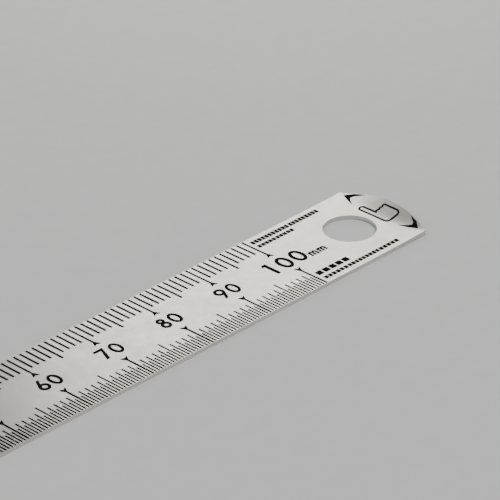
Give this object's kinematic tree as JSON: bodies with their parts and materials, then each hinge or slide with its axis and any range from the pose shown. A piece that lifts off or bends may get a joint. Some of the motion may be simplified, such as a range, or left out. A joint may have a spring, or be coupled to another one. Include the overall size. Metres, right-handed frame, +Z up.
{
  "type": "steel ruler",
  "caption": "Short rigid steel rule graduated in millimetres and half millimetres, with a hanging hole and a bent end tab that is pressed to lift the blade off a table.",
  "frame": {"origin": "middle of the blade's length and width as seen from above, on the table that the blade lies on", "axes": "+X along the blade from the zero end to the tab, +Y across it towards the edge with the 1 mm scale, +Z up out of the graduated face"},
  "size_m": [0.12, 0.015, 0.0014],
  "materials": {
    "steel": "satin stainless steel, fine matt grain, no glare",
    "enamel": "black enamel fill in etched marks, dull"
  },
  "bodies": {
    "root": {"blade": "steel", "numeral_10_digit_1": "enamel", "numeral_10_digit_2": "enamel", "ten_mark_mm_10": "enamel", "ten_mark_half_mm_10": "enamel", "numeral_20_digit_1": "enamel", "numeral_20_digit_2": "enamel", "ten_mark_mm_20": "enamel", "ten_mark_half_mm_20": "enamel", "numeral_30_digit_1": "enamel", "numeral_30_digit_2": "enamel", "ten_mark_mm_30": "enamel", "ten_mark_half_mm_30": "enamel", "numeral_40_digit_1": "enamel", "numeral_40_digit_2": "enamel", "ten_mark_mm_40": "enamel", "ten_mark_half_mm_40": "enamel", "numeral_50_digit_1": "enamel", "numeral_50_digit_2": "enamel", "ten_mark_mm_50": "enamel", "ten_mark_half_mm_50": "enamel", "numeral_60_digit_1": "enamel", "numeral_60_digit_2": "enamel", "ten_mark_mm_60": "enamel", "ten_mark_half_mm_60": "enamel", "numeral_70_digit_1": "enamel", "numeral_70_digit_2": "enamel", "ten_mark_mm_70": "enamel", "ten_mark_half_mm_70": "enamel", "numeral_80_digit_1": "enamel", "numeral_80_digit_2": "enamel", "ten_mark_mm_80": "enamel", "ten_mark_half_mm_80": "enamel", "numeral_90_digit_1": "enamel", "numeral_90_digit_2": "enamel", "ten_mark_mm_90": "enamel", "ten_mark_half_mm_90": "enamel", "numeral_100_digit_1": "enamel", "numeral_100_digit_2": "enamel", "numeral_100_digit_3": "enamel", "ten_mark_mm_100": "enamel", "ten_mark_half_mm_100": "enamel", "unit_letter_1": "enamel", "unit_letter_2": "enamel", "press_here_hand": "enamel", "tab_wedge_mm_side": "enamel", "tab_wedge_half_mm_side": "enamel"}
  },
  "joints": []
}
